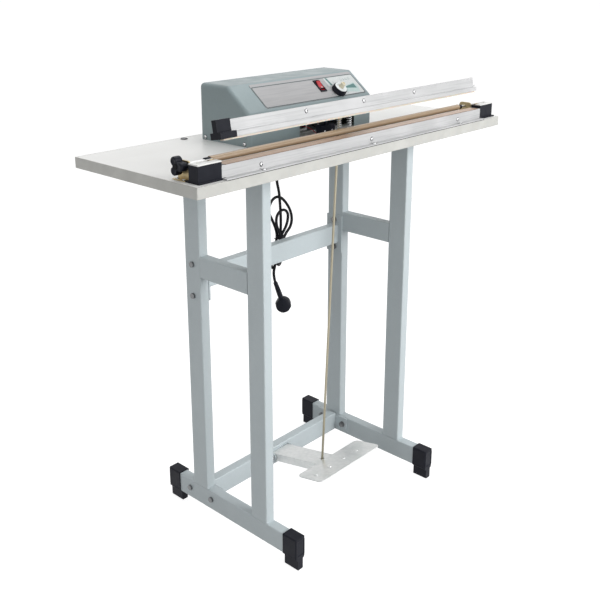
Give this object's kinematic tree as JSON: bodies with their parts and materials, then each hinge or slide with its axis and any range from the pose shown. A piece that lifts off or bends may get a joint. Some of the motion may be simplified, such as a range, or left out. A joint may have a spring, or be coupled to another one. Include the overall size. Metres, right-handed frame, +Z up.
{
  "type": "foot-operated impulse bag sealer",
  "caption": "Foot-pedal impulse bag sealer: long heated jaw on a work table, carried by a tubular stand with a pedal and pull rod.",
  "frame": {"origin": "on the floor at the middle of the whole object", "axes": "+Z up, -Y towards the operator, +X to the operator's right along the sealing jaws"},
  "size_m": [1, 0.434, 1.043],
  "materials": {
    "frame_grey": "satin powder coat",
    "housing_grey": "fine-textured powder coat",
    "board_laminate": "smooth laminate on chipboard",
    "band_cream": "plastic edge band",
    "bar_aluminium": "anodised silver",
    "zinc_steel": "zinc plated",
    "black_paint": "gloss black paint",
    "black_plastic": "moulded, satin",
    "cord_black": "soft sheath",
    "cap_black": "moulded, matt",
    "lid_white": "moulded, matt",
    "panel_silver": "satin printed plate",
    "rocker_red": "clear red lens",
    "hub_cream": "moulded",
    "brass_rod": "yellow passivated",
    "silicone": "soft strip",
    "ptfe_tan": "coated glass cloth",
    "nichrome": "flat resistance wire",
    "core_steel": "stacked laminations",
    "coil_tape": "taped winding",
    "circuit_green": "printed board",
    "spring_steel": "drawn wire"
  },
  "bodies": {
    "stand": {"base_tubes": "frame_grey", "cable_gland": "black_plastic", "cable_hank": "cord_black", "cable_lead": "cord_black", "cable_tail": "cord_black", "chassis_tray": "zinc_steel", "cover_screws": "zinc_steel", "edge_band": "band_cream", "end_block_lids": "lid_white", "end_blocks": "black_plastic", "foot_caps": "cap_black", "frame_bolts": "zinc_steel", "heating_wire": "nichrome", "housing_cover": "housing_grey", "legs": "frame_grey", "lower_jaw_bar": "bar_aluminium", "lower_jaw_screws": "zinc_steel", "lower_tube": "frame_grey", "mains_plug": "black_plastic", "mid_rail": "frame_grey", "panel_plate": "panel_silver", "pedal_bolt": "zinc_steel", "pedal_bracket": "frame_grey", "pivot_bracket": "zinc_steel", "pivot_pin": "zinc_steel", "plug_pins": "brass_rod", "ptfe_film": "ptfe_tan", "return_springs": "spring_steel", "rod_guide": "zinc_steel", "roll_brackets": "brass_rod", "side_rails": "frame_grey", "switch_body": "black_plastic", "table_bolts": "zinc_steel", "table_straps": "frame_grey", "table_top": "board_laminate", "timer_board": "circuit_green", "timer_potentiometer": "zinc_steel", "transformer_coil": "coil_tape", "transformer_core": "core_steel", "trigger_switch": "black_plastic", "wire_clamps": "brass_rod"},
    "jaw": {"lever": "black_paint", "upper_jaw_bar": "bar_aluminium", "silicone_strip": "silicone", "upper_end_cap": "black_plastic", "upper_jaw_screws": "zinc_steel", "rod_bolt": "zinc_steel"},
    "pull_rod": {"pull_rod": "brass_rod", "rod_nut": "zinc_steel"},
    "pedal": {"pedal_arm": "zinc_steel", "pedal_tread": "zinc_steel"},
    "timer": {"timer_knob": "black_plastic", "timer_knob_hub": "hub_cream", "timer_spindle": "zinc_steel"},
    "rocker": {"switch_rocker": "rocker_red"},
    "roll": {"film_roll": "ptfe_tan", "roll_rod": "zinc_steel", "roll_stops": "black_plastic", "star_knob": "black_plastic"},
    "plunger": {"trigger_plunger": "black_plastic"}
  },
  "joints": [
    {"name": "jaw_close", "type": "hinge", "parent": "stand", "child": "jaw", "pos_m": [0, 0.03, 0.96], "axis": [1, 0, 0], "range_deg": [0, 10.5], "stiffness_Nm_per_rad": 20, "springref_deg": -25.78, "deforming": ["return_springs"]},
    {"name": "rod_pivot", "type": "hinge", "parent": "jaw", "child": "pull_rod", "pos_m": [0, -0.105, 0.97241], "axis": [1, 0, 0], "range_deg": [-12, 0]},
    {"name": "pedal_press", "type": "hinge", "parent": "stand", "child": "pedal", "pos_m": [0, 0.076, 0.064], "axis": [1, 0, 0], "range_deg": [0, 11]},
    {"name": "plunger_slide", "type": "slide", "parent": "stand", "child": "plunger", "axis": [0, 0, 1], "range_m": [-0.0032, 0]},
    {"name": "timer_turn", "type": "hinge", "parent": "stand", "child": "timer", "pos_m": [0.102, -0.01529, 1.00503], "axis": [0, -0.6261, 0.7797], "range_deg": [-280, 0]},
    {"name": "switch_press", "type": "hinge", "parent": "stand", "child": "rocker", "pos_m": [0.057, 0.00402, 1.01771], "axis": [1, 0, 0], "range_deg": [-14, 0]},
    {"name": "roll_turn", "type": "hinge", "parent": "stand", "child": "roll", "pos_m": [0, -0.144, 0.946], "axis": [1, 0, 0], "continuous": true}
  ],
  "couplings": [
    {"joint": "rod_pivot", "follows": "jaw_close", "ratio": -1.0303},
    {"joint": "pedal_press", "follows": "jaw_close", "ratio": 0.95135},
    {"joint": "plunger_slide", "follows": "jaw_close", "m_per_rad": -0.01637}
  ]
}
